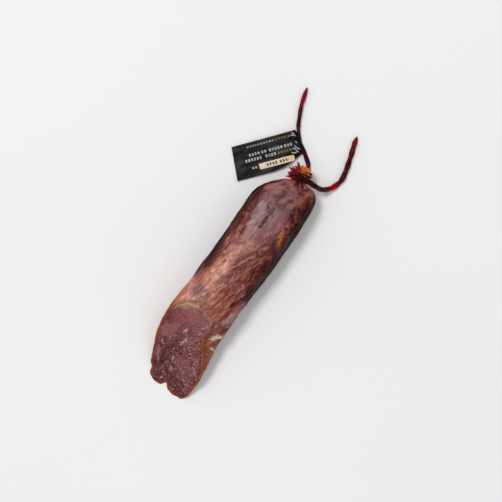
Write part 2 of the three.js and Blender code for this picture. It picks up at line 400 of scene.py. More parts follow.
def meat_material():
    """The cut muscle: mauve-red with a fine slanting grain and pale flecks of fat."""
    tree = Tree("cut_meat")
    grain = tree.noise(0.5, 6, tree.place((0.7, 1.5, 1), 35), 0.7)
    colour = tree.shaded(tree.read("tint"), 0.9, grain, [(0.3, 0.6), (0.5, 0.95), (0.7, 1.0)])
    fatty = tree.read("fleck", "Fac")
    wide = tree.noise(0.36, 4, tree.place((1.0, 2.0, 1), 52), 0.7, 0.8)
    fine = tree.noise(0.75, 3, tree.place((1, 1.6, 1), 40), 0.6)
    for flecks, stops, fat in (
        (wide, [(0.56, 0.0), (0.66, 0.75)], (190, 148, 148)),
        (fine, [(0.6, 0.0), (0.68, 0.85)], (205, 172, 172)),
    ):
        colour = tree.mix(tree.times(tree.ramp(flecks, stops), fatty), colour, rgba(fat))
    rough = tree.ramp(grain, [(0.3, 0.42), (0.7, 0.6)])
    tree.surface(colour, rough, 0.12, tree.bump(grain, 0.4), coat=0.05, coat_roughness=0.35)
    return tree.material


def frill_material():
    """Thin dried shreds of casing that let some light through."""
    tree = Tree("frayed_casing")
    streaks = tree.noise(0.8, 5, tree.place((1.5, 0.5, 1)), 0.6, 0.3)
    colour = tree.shaded(tree.read("tint"), 0.8, streaks, [(0.3, 0.6), (0.5, 1.0), (0.72, 1.4)])
    tree.shader.inputs["Subsurface Weight"].default_value = 0.15
    tree.shader.inputs["Subsurface Scale"].default_value = 0.0015
    tree.surface(colour, 0.45, 0.12, tree.bump(streaks, 0.25), coat=0.04)
    return tree.material


def cord_material():
    """Cotton cord stiff with dried juice: nearly black, red where it is worn, with a painted red rim of
    light along one side and painted pale pink glints.
    """
    tree = Tree("stained_cord")
    fibre = tree.noise(1.3, 5, None, 0.7, 0.3)
    colour = tree.shaded(tree.read("tint"), 0.85, fibre, [(0.3, 0.55), (0.52, 1.0), (0.75, 1.7)])
    # painted glints: pale pink spots, most where the cord is reddest
    glint = tree.ramp(tree.noise(0.9, 3), [(0.64, 0.0), (0.74, 0.6)])
    pale = tree.times(glint, tree.read("worn", "Fac"))
    colour = tree.mix(pale, colour, rgba(CORD_GLINT))
    tree.surface(colour, 0.42, 0.07, tree.bump(fibre, 0.35), coat=0.04, coat_roughness=0.25)
    return tree.material


def label_material():
    """Black plastic film with pale print, a little creased."""
    tree = Tree("printed_film")
    wear = tree.noise(0.35, 6, None, 0.7)
    colour = tree.shaded(tree.read("tint"), 0.7, wear, [(0.3, 0.8), (0.6, 1.0), (0.85, 1.35)])
    creases = tree.noise(0.09, 5, tree.place((0.7, 1.5, 1), -47), 0.55, 0.8)
    tree.surface(colour, tree.ramp(wear, [(0.3, 0.3), (0.75, 0.5)]), 0.12, tree.bump(creases, 0.5))
    return tree.material


# ---------------------------------------------------------------- the loin's plain shape
def profile(share):
    """The rows of STATIONS at these shares of the length, on a smooth curve."""
    at, rows = STATIONS[:, 0], STATIONS[:, 1:]
    slopes = np.gradient(rows, at, axis=0)
    k = np.clip(np.searchsorted(at, share) - 1, 0, len(at) - 2)
    gap = at[k + 1] - at[k]
    t = ((share - at[k]) / gap)[:, None]
    gap = gap[:, None]
    return (
        (2 * t**3 - 3 * t**2 + 1) * rows[k]
        + (t**3 - 2 * t**2 + t) * gap * slopes[k]
        + (3 * t**2 - 2 * t**3) * rows[k + 1]
        + (t**3 - t**2) * gap * slopes[k + 1]
    )


def bump(distance):
    """1 at the middle, falling smoothly to 0 at a distance of 1."""
    return np.where(distance < 1, np.cos(distance * math.pi / 2) ** 2, 0)


def loin_surface(share, angle, inset=0.0):
    """Points inset from the loin's outside, in its own frame: Y from the tip, X from the middle."""
    shift, half_width, under, top = profile(share).T
    past = np.clip(1 - (1 - share) * LOIN_LENGTH / TIED_END_LENGTH, 0, 1)
    cap = (1 - past**TIED_END_POWER) ** (1 / TIED_END_POWER)
    dent = np.full(len(share), float(inset))
    degrees = np.degrees(angle)
    for at, towards, half_length, half_angle, depth in HOLLOWS:
        turn = np.abs((degrees - towards + 540) % 360 - 180)
        dent += depth * bump(np.abs(share - at) / half_length) * bump(turn / half_angle)
    c, s = np.cos(angle), np.sin(angle)
    power = 2 / SECTION_POWER
    half_height = (top - under) / 2 * LOIN_THICKNESS + FOOT_DEPTH / 2
    across = (half_width * LOIN_WIDTH - dent) * cap * np.sign(c) * np.abs(c) ** power
    up = (half_height - dent) * cap * np.sign(s) * np.abs(s) ** power
    x = shift * LOIN_WIDTH + across
    y = share * LOIN_LENGTH - inset * np.clip((share - 0.5) * 2, 0, 1)
    z = np.maximum((top + under) / 2 * LOIN_THICKNESS - FOOT_DEPTH / 2 + up, inset)
    return np.stack([x, y, z], 1)


def find_place():
    """The shift from the loin's own frame to the row frame, found from the CAD solids."""
    share, angle = np.meshgrid(np.linspace(0.1, 0.9, 200), np.linspace(0, 2 * math.pi, 90))
    outside = loin_surface(share.ravel(), angle.ravel())
    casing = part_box("casing")
    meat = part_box("loin_meat")
    x = (casing[0].x + casing[1].x) / 2 / MM - (outside[:, 0].min() + outside[:, 0].max()) / 2
    y = meat[1].y / MM - (LOIN_LENGTH - CASING_WALL - CLEARANCE)
    return np.array([x, y, 0.0])


PLACE = find_place()
TIE = PLACE + np.array([NECK_SHIFT, LOIN_LENGTH + CORD_DIAMETER / 2 + CLEARANCE, 0.0])


def neck_axes():
    """Across the neck, out along it and up, as unit vectors."""
    across = np.array([math.cos(NECK_LEAN), math.sin(NECK_LEAN), 0])
    out = np.array([-math.sin(NECK_LEAN), math.cos(NECK_LEAN), 0])
    return across, out, np.array([0, 0, 1.0])


# ---------------------------------------------------------------- the camera, the floor and the lights
VIEW_TURN = math.radians(32)  # the loin lies turned by this in the picture
VIEW_WIDTH = 502
LENS = 100
SENSOR = 36
VIEW_HEIGHT = VIEW_WIDTH * LENS / SENSOR
VIEW_CENTRE = PLACE + np.array([3.7, 164.8, LOIN_THICKNESS / 2])
FAR_END = 20  # metres from the camera
FLOOR_REACH = 6000
FLOOR_TONES = [(0.3, (236, 236, 236)), (0.7, (238, 238, 238))]
FLOOR_DROP = 0.1  # how far the floor lies below the loin, so that their faces don't meet

# Each lamp: how far right and up in the picture it hangs and how high, its size in metres and its power.
LAMPS = {
    "key": ((-1.5, 1.5, 4.8), 1.3, 128),
    "fill": ((3.2, -0.8, 4.8), 4.8, 20),
}
SKY = 0.565
SKY_MIRRORED = 0.06  # what shiny surfaces see of it, as under a dark ceiling


def seen(points):
    """Where points appear from above, at the level of the loin's middle and from the tip."""
    nearer = VIEW_HEIGHT / (VIEW_HEIGHT + VIEW_CENTRE[2] - points[:, 2:3])
    plan = VIEW_CENTRE[:2] + (points[:, :2] - VIEW_CENTRE[:2]) * nearer
    return plan - PLACE[:2]


def make_camera():
    data = bpy.data.cameras.new("camera")
    data.lens = LENS
    data.sensor_width = SENSOR
    data.clip_end = FAR_END
    camera = add_object("camera", data)
    camera.location = (VIEW_CENTRE + np.array([0, 0, VIEW_HEIGHT])) * MM
    camera.rotation_euler = (0, 0, VIEW_TURN)
    bpy.context.scene.camera = camera


def make_floor():
    corners = [(x * FLOOR_REACH, y * FLOOR_REACH, 0) for x, y in ((-1, -1), (1, -1), (1, 1), (-1, 1))]
    floor = mesh_object("floor", corners, [(0, 1, 2, 3)])
    floor.location.z = -FLOOR_DROP * MM
    tree = Tree("floor")
    tree.surface(tree.ramp(tree.noise(0.002, 2), FLOOR_TONES), 0.9, 0.1)
    floor.data.materials.append(tree.material)


def in_picture(right, up, height):
    """A place given in metres by how far right and up it is in the picture, and how high."""
    c, s = math.cos(VIEW_TURN), math.sin(VIEW_TURN)
    return Vector((right * c - up * s, right * s + up * c, height))


def area_light(name, place, size, power):
    data = bpy.data.lights.new(name, "AREA")
    data.size = size
    data.energy = power
    lamp = add_object(name, data)
    lamp.location = place
    lamp.rotation_euler = (-place).to_track_quat("-Z", "Y").to_euler()


def make_lights():
    for name, (place, size, power) in LAMPS.items():
        area_light(name, in_picture(*place), size, power)
    world = bpy.data.worlds.new("studio")
    world.use_nodes = True
    nodes, links = world.node_tree.nodes, world.node_tree.links
    back = nodes["Background"]
    back.inputs["Color"].default_value = (1, 1, 1, 1)
    mirrored = nodes.new("ShaderNodeLightPath").outputs["Is Glossy Ray"]
    level = nodes.new("ShaderNodeMapRange")
    level.inputs["To Min"].default_value = SKY
    level.inputs["To Max"].default_value = SKY_MIRRORED
    links.new(mirrored, level.inputs["Value"])
    links.new(level.outputs["Result"], back.inputs["Strength"])
    bpy.context.scene.world = world
    bpy.context.scene.view_settings.view_transform = "Standard"


# ---------------------------------------------------------------- the cord
def lying(*places):
    """Points of a cord that lies on the surface."""
    return [(x, y, LIES_AT) for x, y in places]


# The two free ends, as points from the middle of the tie with heights above the surface.
SIDE_ROUTE = [
    (0, 0, RING_TOP), (5.2, 0.5, RING_TOP), (10.7, 1.2, RING_TOP - 1.2), (16.8, 1.3, RING_TOP - 5.6),
    (22.7, 2, RING_TOP - 13), (27.2, 4.7, LIES_AT + 7.2), (31, 8.4, LIES_AT + 2.4),
    (33.9, 13.4, LIES_AT + 0.3),
    *lying(
        (35.7, 18.8), (36.1, 24), (35.6, 28.9), (34.7, 33.9), (33.5, 39.2), (32.2, 44.3), (30.8, 49.4),
        (29.3, 54.4), (27.9, 59.5), (26.9, 64.7),
    ),
]
UP_ROUTE = [
    (3, 1, 13.2), (3.4, 3.5, 11.2), (3.1, 6.5, 8.6), (2.5, 9.5, 6), (1.8, 12.3, LIES_AT + 1.2),
    *lying(
        (0.7, 15), (-1.4, 18), (-4.9, 21.2), (-9.1, 24.5), (-13.6, 27.6), (-18, 30.8), (-22, 34.4),
        (-25.4, 38.2), (-28.3, 42.4), (-30.8, 46.8), (-33, 51.4), (-37, 60.8), (-40.3, 70.8),
        (-42.4, 80.2),
    ),
]
KNOT_ROUTE = [
    (-2.4, 0.5, 14), (0.6, 3.4, 11.6), (5.1, 3.2, 11), (6.8, 0.8, 12.4), (4.1, -1.2, 12), (1.1, 0.3, 10.6),
]
SIDE_TIED = 0.125  # the share of each route that the tie hides
UP_TIED = 0.07
SIDE_RADII = (2.7, 2.6, 2.5)  # at the start, the middle and the end
UP_RADII = (2.6, 2.0, 2.15)
POINTED = 7  # how far before its end a cord begins to thin out
FRAYED = 3.5  # how far the point of a cut end runs on past the cord
LOWEST = 0.1  # how near a free end comes to the surface
ROPE_SIDES = 28
ROPE_STEP = 0.35
STRAND_TURN = 26  # millimetres in which the cord's two strands go once round
STRAND_DEPTH = 0.09
RED_RIM_SIDE = np.array([0.53, -0.85, -0.2])  # the side away from the key lamp, along which a bright red rim of light is painted

CORD_DARK = (30, 4, 7)
TURN_DARK = (26, 4, 6)
KNOT_DARK = (40, 7, 11)
CORD_STREAK = (88, 5, 10)
CORD_RED = (206, 6, 16)
CORD_GLINT = (225, 110, 115)


def rope_line(route):
    """A route as evenly spaced points in the row frame, and how far along it each is."""
    rough = curve_points(np.array(route) + TIE, 0.5)
    gone = np.concatenate([[0], np.cumsum(np.linalg.norm(np.diff(rough, axis=0), axis=1))])
    at = np.linspace(0, gone[-1], int(gone[-1] / ROPE_STEP))
    return np.stack([np.interp(at, gone, rough[:, k]) for k in range(3)], 1), at


def cross_frames(line):
    """Two directions across a line at each of its points, without twist."""
    along = np.gradient(line, axis=0)
    along /= np.linalg.norm(along, axis=1, keepdims=True)
    side = np.empty_like(along)
    start = np.cross(along[0], [0, 0, 1])
    side[0] = start / np.linalg.norm(start)
    for i in range(1, len(line)):
        step = side[i - 1] - along[i] * (side[i - 1] @ along[i])
        side[i] = step / np.linalg.norm(step)
    return side, np.cross(along, side)


def rope_mesh(name, line, at, radius, seed, colour, red, low=0.0):
    """A cord of two soft strands along a line, its radius and redness given at each point."""
    side, up = cross_frames(line)
    theta = np.linspace(0, 2 * math.pi, ROPE_SIDES, endpoint=False)
    turn, gone = np.meshgrid(theta, at)
    strands = 1 + STRAND_DEPTH * np.cos(2 * (turn - gone * 2 * math.pi / STRAND_TURN))
    where = np.stack([np.cos(turn).ravel() * 2, gone.ravel(), np.sin(turn).ravel() * 2], 1)
    lumps = 0.1 * noise(where, (2.5, 6, 2.5), seed) + 0.06 * noise(where, (0.8, 2.4, 0.8), seed + 5)
    spread = radius[:, None] * (strands + lumps.reshape(turn.shape))
    points = ring_points(line[:, None], side[:, None], up[:, None], spread, turn)
    points[..., 2] = np.maximum(points[..., 2], low)
    outwards = (points - line[:, None]) / radius[:, None, None]
    # painted light: a bright red rim on the cord's side away from the key lamp
    edge = smooth(0.1, 0.85, (outwards @ RED_RIM_SIDE).ravel())
    streak = smooth(0.1, 0.75, fractal(where, (1.2, 9, 1.2), 3, seed + 9))
    worn = np.repeat(red, ROPE_SIDES)
    count = turn.size
    colours = layered(
        plain(colour, count),
        (CORD_STREAK, 0.7 * streak),
        # red where the cord is worn, and the painted red rim along one side
        (CORD_RED, worn * np.maximum(edge, 0.8 * streak + 0.3 * worn**2)),
    )
    faces = grid_faces(len(line), ROPE_SIDES, True)
    faces.append(list(range(ROPE_SIDES))[::-1])
    faces.append(list(range(count - ROPE_SIDES, count)))
    return mesh_object(name, points.reshape(-1, 3), faces, tint=colours, worn=worn)


def tapered(at, start, middle, end):
    """A radius that changes slowly along a cord and runs to a point at its cut end."""
    share = at / at[-1]
    radius = np.interp(share, [0, 0.5, 1], [start, middle, end])
    left = (at[-1] - at) / POINTED
    return radius * np.clip(left, 0.03, 1) ** 0.55


def side_red(share):
    """How red the side end is along its length: most in its bend and at its tip."""
    worn = 0.1 + 0.3 * smooth(0.3, 0.4, share) + 0.6 * smooth(0.75, 0.98, share)
    return worn + 0.55 * np.exp(-(((share - 0.44) / 0.09) ** 2))


def up_red(share):
    """How red the upper end is along its length: more and more towards its tip."""
    return 0.15 + 0.75 * smooth(0.5, 0.95, share)


def free_cord(name, node, route, tied, radii, seed, red):
    """One free end of the cord, and the line that it follows up to its frayed point."""
    last, before = np.array(route[-1]), np.array(route[-2])
    point = last + FRAYED * (last - before) / np.linalg.norm(last - before)
    line, at = rope_line([*route, tuple(point)])
    first = int(len(line) * tied)
    radius = tapered(at, *radii)[first:]
    redness = red(at / at[-1])[first:]
    item = rope_mesh(name, line[first:], at[first:], radius, seed, CORD_DARK, redness, LOWEST)
    item.data.materials.append(CORD)
    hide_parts(node)
    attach(item, "root")
    return item, line[first:len(line) - int(FRAYED / ROPE_STEP)]


def make_cords():
    """Both free ends, and the tie round the neck that they come out of."""
    side = free_cord("cord_side", "cord_end_side", SIDE_ROUTE, SIDE_TIED, SIDE_RADII, 3, side_red)
    upper = free_cord("cord_up", "cord_end_up", UP_ROUTE, UP_TIED, UP_RADII, 21, up_red)
    make_tie()
    return side, upper


def ring_route():
    """The cord's turn round the neck, from the knot under it, up its left side and over its top."""
    across, out, up = neck_axes()
    return [
        up * NECK_HEIGHT + RING_RADIUS * (across * math.cos(a) + up * math.sin(a))
        + out * 0.5 * math.sin(a * 0.5)
        for a in np.radians(np.arange(-60, -275, -12))
    ]


def make_tie():
    """The turn round the neck and the knot under it, up to where each free end starts."""
    turn = [*ring_route(), *SIDE_ROUTE[1:4]]
    start = [(1, -1, NECK_HEIGHT - RING_RADIUS - 1), *UP_ROUTE[:3]]
    parts = []
    for name, route, radius, seed, colour, red in (
        ("turn", turn, 2.7, 5, TURN_DARK, 0.3),
        ("start", start, 2.5, 6, KNOT_DARK, 0.1),
        ("knot", KNOT_ROUTE, 2.2, 7, KNOT_DARK, 0.15),
    ):
        line, at = rope_line(route)
        same = np.ones(len(at))
        parts.append(rope_mesh(name, line, at, radius * same, seed, colour, red * same))
    item = joined("cord_wrap", parts)
    item.data.materials.append(CORD)
    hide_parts("cord_tie")
    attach(item, "root")


def joined(name, items):
    """One object from several."""
    work = bmesh.new()
    for item in items:
        work.from_mesh(item.data)
    mesh = bpy.data.meshes.new(name)
    for key, kind in (("tint", "FLOAT_COLOR"), ("worn", "FLOAT")):
        mesh.attributes.new(key, kind, "POINT")
    work.to_mesh(mesh)
    work.free()
    for item in items:
        bpy.data.objects.remove(item)
    mesh.shade_smooth()
    return add_object(name, mesh)


# ---------------------------------------------------------------- the slanted cut
GRID_START = -0.03  # the share of the length at which a grid begins, past the tip
CROWDING = 0.35  # how much closer a grid's rows lie towards the tied end
TOP_FROM = -0.15 * math.pi
TOP_TO = 1.15 * math.pi
TOP_WIDTH = 110  # how far it is over the loin's top and under it
UNDER_WIDTH = 66

# Where the tip's outline swells or is rounded off: middle, half sizes and change in height.
CUT_LOBES = [
    ((-9, 6), (7, 6), 2.2),
    ((-20, 11), (4, 4), -1.1),
    ((22, 0), (5, 5), -1.2),
    ((3, 4.5), (2.5, 4), -1.0),
]


# The groove that the knife left across the face, as places in the row frame.
GROOVE = [(-13, -103), (-7, -116), (0, -124), (4, -133)]
GROOVE_WIDTH = 5
GROOVE_DEPTH = 1.1


def loin_grid(along_step, top_step, under_step, inset=0.0):
    """A grid over the loin's outside, finer on top, with its normals."""
    length = 1 - GRID_START
    u = np.linspace(0, 1, int(LOIN_LENGTH * length / along_step))
    share = GRID_START + length * (u - CROWDING * np.sin(2 * math.pi * u) / (2 * math.pi) * u)
    share /= share[-1]
    top = np.linspace(TOP_FROM, TOP_TO, int(TOP_WIDTH / top_step), endpoint=False)
    under = np.linspace(TOP_TO, TOP_FROM + 2 * math.pi, int(UNDER_WIDTH / under_step), endpoint=False)
    s, a = np.meshgrid(share, np.concatenate([top, under]), indexing="ij")
    points = loin_surface(s.ravel(), a.ravel(), inset) + PLACE
    grid = points.reshape(*s.shape, 3)
    around = np.roll(grid, -1, 1) - np.roll(grid, 1, 1)
    along = np.gradient(grid, axis=0)
    normal = np.cross(along, around)
    normal /= np.linalg.norm(normal, axis=2, keepdims=True) + 1e-9
    return grid, normal


def cut_height(plan):
    """The height of the slanted cut, still without waves, over a place in plan."""
    x = plan[:, 0] - PLACE[0]
    y = plan[:, 1] - PLACE[1]
    return CUT_RISE * y + CUT_LEAN * (x - CUT_TIP_SHIFT)


def cut_waves(plan):
    """How far the real cut lies above the plane: the knife's waves, a groove, and the uneven tip."""
    spots = flat_points(*plan.T)
    waves = 0.7 * noise(spots, 17, 71) + 0.5 * noise(spots, 6, 72) + 0.3 * noise(spots, 2.8, 73)
    groove = stroke(plan, GROOVE, GROOVE_WIDTH)
    edge = smooth(-2, 5, cut_height(plan))
    tip = 0.25 * noise(spots, 5, 74)
    for middle, size, rise in CUT_LOBES:
        tip += rise * spot(plan - PLACE[:2], middle, size, 0, 0.9)
    return (waves - GROOVE_DEPTH * groove) * edge + tip


def add_waves(item, amount):
    """Raises the piece by the cut's waves, or lowers it by them when amount is -1."""
    points = mesh_points(item.data)
    points[:, 2] += amount * cut_waves(points[:, :2])
    move_points(item.data, points)


def cut_open(item):
    """Takes away what is above the cut. The piece stays lowered by the waves, so that the cut is flat."""
    add_waves(item, -1)
    work = bmesh.new()
    work.from_mesh(item.data)
    normal = Vector((-CUT_LEAN, -CUT_RISE, 1)).normalized()
    tip = Vector(((PLACE[0] + CUT_TIP_SHIFT) * MM, PLACE[1] * MM, 0))
    everything = work.verts[:] + work.edges[:] + work.faces[:]
    bmesh.ops.bisect_plane(work, geom=everything, dist=1e-7, plane_co=tip, plane_no=normal, clear_outer=True)
    work.to_mesh(item.data)
    work.free()


# ---------------------------------------------------------------- the casing
# Mauve-grey: the casing's own colour with painted sheen of the soft light in it.
MAUVE = (136, 104, 103)
DUSK = (106, 64, 62)
ROSE = (158, 116, 108)
COPPER = (165, 105, 86)
RUST = (120, 58, 42)
SALMON = (212, 148, 124)
PEACH_HIGHLIGHT = (238, 182, 162)
MAROON = (70, 25, 23)
BLACK = (22, 6, 7)
ORANGE = (196, 112, 52)
OCHRE = (172, 128, 88)
ASH = (168, 156, 146)
FILM_SHEEN = (146, 142, 150)
CREAM = (240, 206, 186)
BLOOD = (172, 22, 10)
DRIED_EDGE = (150, 72, 28)

# Each patch: its colour, middle and half sizes in plan, turn in degrees, strength and softness.
# Places on the loin are in millimetres from its tip, as seen from above.
CASING_PATCHES = [
    (ROSE, (0, 176), (15, 16), 10, 0.75, 0.9),
    (COPPER, (-8, 168), (10, 16), 15, 0.45, 0.9),
    (COPPER, (2, 120), (17, 46), 8, 0.75, 0.6),
    (RUST, (7, 122), (12, 42), 6, 0.6, 0.7),
    (RUST, (12, 160), (8, 26), 0, 0.55, 0.8),
    (COPPER, (-18, 160), (11, 24), 12, 0.65, 0.8),
    (SALMON, (-14, 152), (6, 12), 20, 0.55, 0.9),
    (SALMON, (-15, 121), (11, 25), 0, 0.95, 0.7),
    (COPPER, (-25, 124), (5, 30), -6, 0.7, 0.8),
    # a painted highlight: pale peach where the soft light falls, on the left just past the cut
    (PEACH_HIGHLIGHT, (-24, 95), (9, 9), 0, 0.95, 0.8),
    (SALMON, (-28, 103), (8, 14), 0, 0.6, 0.9),
    (MAUVE, (-21, 104), (4.5, 8.5), -18, 0.85, 0.5),
    (MAUVE, (-7, 124), (5, 6), 0, 0.4, 0.8),
    (SALMON, (-2, 166), (6, 12), -30, 0.5, 0.9),
    (MAROON, (19, 158), (6, 30), 0, 0.6, 0.7),
    (COPPER, (0, 104), (14, 12), 0, 0.5, 0.9),
    (COPPER, (2, 246), (10, 4), 0, 0.8, 0.8),
    (RUST, (6, 238), (9, 3), 0, 0.5, 0.8),
    (MAROON, (-23, 208), (5.5, 34), -7, 0.95, 0.6),
    (RUST, (-20, 187), (4, 10), -10, 0.5, 0.8),
    (ORANGE, (-21.4, 193.5), (3.4, 2.2), 25, 0.95, 0.5),
    (ORANGE, (-24.4, 190), (1.6, 4), -20, 0.7, 0.6),
    (ORANGE, (-18.4, 229.5), (1.6, 1.6), 0, 0.5, 0.6),
    (MAROON, (25, 210), (9, 38), -4, 0.95, 0.55),
    (RUST, (19, 236), (7, 7), 0, 0.6, 0.6),
    (ORANGE, (22, 232), (4, 4), 0, 0.55, 0.5),
    # These black strips along the right edge are painted shade where the flank turns under.
    (BLACK, (30, 228), (3.5, 14), 0, 0.85, 0.6),
    (BLACK, (28.5, 190), (5, 26), 0, 0.92, 0.6),
    (BLACK, (30, 158), (4, 36), 0, 0.9, 0.6),
    (MAROON, (24, 140), (7, 45), 0, 0.85, 0.6),
    (BLACK, (21, 206), (3.2, 4), 20, 0.8, 0.5),
    (RUST, (22, 199), (5, 10), 20, 0.5, 0.7),
    # pale blue-grey film along the right flank, its grey partly a painted highlight
    (FILM_SHEEN, (27.6, 108), (2.2, 44), -2, 0.75, 0.7),
    (OCHRE, (-24, 85), (7, 5), 10, 0.8, 0.6),
    (ASH, (-25, 87), (4, 3), 0, 0.6, 0.7),
    (ORANGE, (-16, 90), (6, 4), 20, 0.45, 0.8),
    (COPPER, (17, 100), (7, 14), -10, 0.5, 0.8),
    (COPPER, (24, 72), (9, 24), -8, 0.7, 0.7),
    (ORANGE, (24, 52), (7, 12), -6, 0.55, 0.7),
    (ORANGE, (-33, 58), (3.5, 40), 0, 0.7, 0.8),
    (RUST, (0, 2), (36, 9), 0, 0.8, 0.7),
]

MARK_STRENGTH = 1.3

# Each mark: its colour, points in plan, width, how far it rises from the surface, and strength.
# Dark marks sink as creases and pale ones rise as ridges. Their dark is partly painted shade in the creases,
# and their pale is partly painted highlight on the ridges, over the casing's own colours. The blood marks
# are stains.
CASING_MARKS = [
    (MAROON, [(-14, 183), (-15, 172), (-15.4, 160)], 1.3, -1.1, 0.6),
    (ROSE, [(-14.5, 163), (-16, 157), (-18.4, 153)], 1.4, 0.6, 0.6),
    (MAROON, [(-17.4, 168), (-19, 159), (-20.4, 151)], 1.2, -1.0, 0.55),
    (RUST, [(-21.4, 150), (-22.6, 138), (-23.4, 126)], 1.3, -0.8, 0.5),
    (RUST, [(11.6, 169), (5.6, 162), (0.6, 156)], 1.2, -1.2, 0.7),
    (RUST, [(6.6, 166), (5, 157), (3.6, 148)], 1.1, -1.1, 0.6),
    (MAROON, [(10.6, 160), (7.6, 152), (8.6, 143)], 1.3, -1.3, 0.6),
    (RUST, [(3.6, 146), (0, 140), (-3.4, 135)], 1.2, -1.1, 0.6),
    (RUST, [(0.6, 135), (-2, 131), (-4.4, 128.7)], 1.2, -0.9, 0.6),
    (MAROON, [(16.6, 143), (12.6, 133), (10.6, 123)], 1.4, -1.2, 0.6),
    (RUST, [(14.6, 133), (12.6, 122), (11.6, 112)], 1.3, -1.0, 0.5),
    (RUST, [(6, 130), (2, 119), (-2, 108)], 1.2, -1.0, 0.5),
    (RUST, [(9, 118), (5, 107), (2, 98)], 1.2, -0.9, 0.5),
    (SALMON, [(9, 163), (3, 152), (-1, 143)], 1.3, 0.8, 0.45),
    (SALMON, [(7, 137), (3, 126), (0, 116)], 1.2, 0.7, 0.4),
    (SALMON, [(-6.4, 160), (-1.4, 170), (3.6, 176)], 2.2, 0.4, 0.5),
    (BLACK, [(10, 166), (11.5, 165)], 1.6, -1.2, 0.8),
    (BLACK, [(15, 164), (16, 163)], 1.4, -1.0, 0.7),
    (BLACK, [(10, 146), (11.5, 145.4)], 1.3, -1.0, 0.7),
    (MAROON, [(-5.9, 213.7), (-3.4, 210), (-2.2, 205.7)], 0.9, -0.9, 0.75),
    (MAROON, [(-3.4, 211.7), (-1.9, 209), (-1.4, 205.7)], 0.9, -0.8, 0.65),
    (MAROON, [(2.6, 213.7), (1.2, 209), (-0.2, 203.7)], 0.9, -0.9, 0.75),
    (MAROON, [(0.1, 204), (-0.2, 198), (-0.6, 192), (-2.4, 187.7)], 1.2, -1.1, 0.75),
    # a black line along the left edge: painted shade where the flank turns under
    (BLACK, [(-27, 126), (-27.4, 150), (-27.8, 172), (-26.6, 192)], 1.8, -0.4, 0.9),
    (ORANGE, [(19, 204), (22.4, 189), (24.4, 178)], 1.5, 0.9, 0.8),
    (ORANGE, [(21, 224), (24, 218), (27, 212)], 1.6, 0.8, 0.55),
    (BLOOD, [(9.6, 68.7), (14, 73.5), (18.6, 77.7), (20.6, 85.7)], 2.3, -1.6, 1.0),
    (BLACK, [(12, 69), (16, 73), (20, 76)], 0.8, -1.2, 0.85),
    (CREAM, [(14.6, 67.7), (19.5, 72), (24.6, 77.7)], 2.0, 1.6, 0.85),
    (MAROON, [(18.6, 64.7), (22, 67.5), (26.6, 71.7)], 1.6, -1.6, 0.95),
    (BLOOD, [(15, 77), (19, 82), (23, 90)], 1.3, -1.4, 0.85),
    (CREAM, [(18.6, 57), (21, 60), (25, 64)], 1.3, 1.0, 0.8),
    (ORANGE, [(13.6, 63), (16, 60), (17, 54)], 1.4, 0.9, 0.9),
    (MAROON, [(20, 52), (22, 55), (26, 60)], 1.2, -1.2, 0.9),
    (CREAM, [(20, 93), (22, 98), (25, 104)], 0.8, 0.8, 0.6),
    (MAROON, [(16, 106), (18, 116), (21, 128)], 2.2, -1.0, 0.8),
    (ORANGE, [(13, 100), (14, 110), (17, 120)], 0.9, 0.7, 0.6),
    (BLACK, [(24.6, 76), (26.4, 84), (27, 90)], 1.2, -1.0, 0.8),
    (ASH, [(22, 50), (23, 55), (26, 58)], 1.2, 0.8, 0.8),
    (ASH, [(27.6, 101.7), (24, 96), (20.6, 91.7), (18.6, 85.7)], 1.2, 1.0, 0.85),
    (ASH, [(15.6, 84.7), (13.6, 79.7)], 1.2, 0.7, 0.7),
    # pale blue-grey film by the cut, its grey partly a painted highlight
    (FILM_SHEEN, [(19, 84), (24, 88), (27.5, 93)], 1.6, 0.7, 0.7),
    (OCHRE, [(19.6, 105.7), (23, 104), (27, 99.7)], 1.7, 1.0, 0.8),
    (ORANGE, [(17.6, 62.7), (19, 56), (19.6, 49.7)], 2.2, 1.2, 0.85),
    (MAROON, [(21.6, 60), (22.6, 53), (22.6, 49)], 1.3, -1.4, 0.75),
    (COPPER, [(24.6, 62), (25.6, 55), (25.6, 49)], 1.6, 1.2, 0.8),
    (MAROON, [(16.6, 82), (15, 92), (18, 100)], 1.6, -1.4, 0.6),
    (OCHRE, [(-31, 84), (-24, 88.5), (-17, 90.5), (-9, 94)], 1.8, 0.8, 0.6),
    (CREAM, [(21, 47), (22.6, 44), (24, 41.5)], 2.4, 1.4, 0.9),
    (ORANGE, [(25, 48), (26.4, 45), (27, 41)], 1.5, 0.8, 0.8),
]

# Rough, craggy stretches: middle, half sizes and how rough in millimetres.
CRAGS = [
    ((24, 232), (9, 14), 1.5),
    ((24, 205), (8, 14), 1.5),
    ((17, 226), (5, 8), 1.0),
    ((7, 238), (10, 6), 0.8),
    ((-23, 205), (5, 26), 0.7),
    ((6, 145), (14, 26), 0.7),
    ((22, 66), (9, 26), 0.9),
]
# Stretches in plan, as an oval's middle, half sizes, turn and softness.
# where a smooth painted sheen lies over the top
SHEEN_OVAL = ((1, 198), (18, 34), 8, 0.7)
FIBROUS = ((2, 130), (24, 60), 0, 0.6)
FURROWED = ((2, 130), (26, 70), 0, 0.6)

CASING_STEPS = (0.8, 0.78, 1.2)  # the grid's steps along the loin, over its top and under it
DEEPEST = -3  # how far the relief may sink and rise
HIGHEST = 2
GREASE = 0.44  # how strong the gloss is on top


def add_patches(plan, colours, patches):
    """The colours with soft ovals laid over them."""
    for colour, middle, size, turn, strength, soft in patches:
        colours = paint(colours, colour, strength * spot(plan, middle, size, turn, soft))
    return colours


def add_marks(plan, colours, marks):
    """The colours with the marks laid on, a little crooked, and how far the marks rise."""
    rise = np.zeros(len(plan))
    flat = flat_points(*plan.T)
    sideways = 0.8 * noise(flat, 2.6, 140) + 0.5 * noise(flat, 1.2, 141)
    crooked = plan + np.stack([sideways, noise(flat, 4, 142)], 1)
    for colour, points, width, height, strength in marks:
        line = stroke(crooked, points, width)
        colours = paint(colours, colour, MARK_STRENGTH * strength * line)
        rise += height * line
    return colours, rise


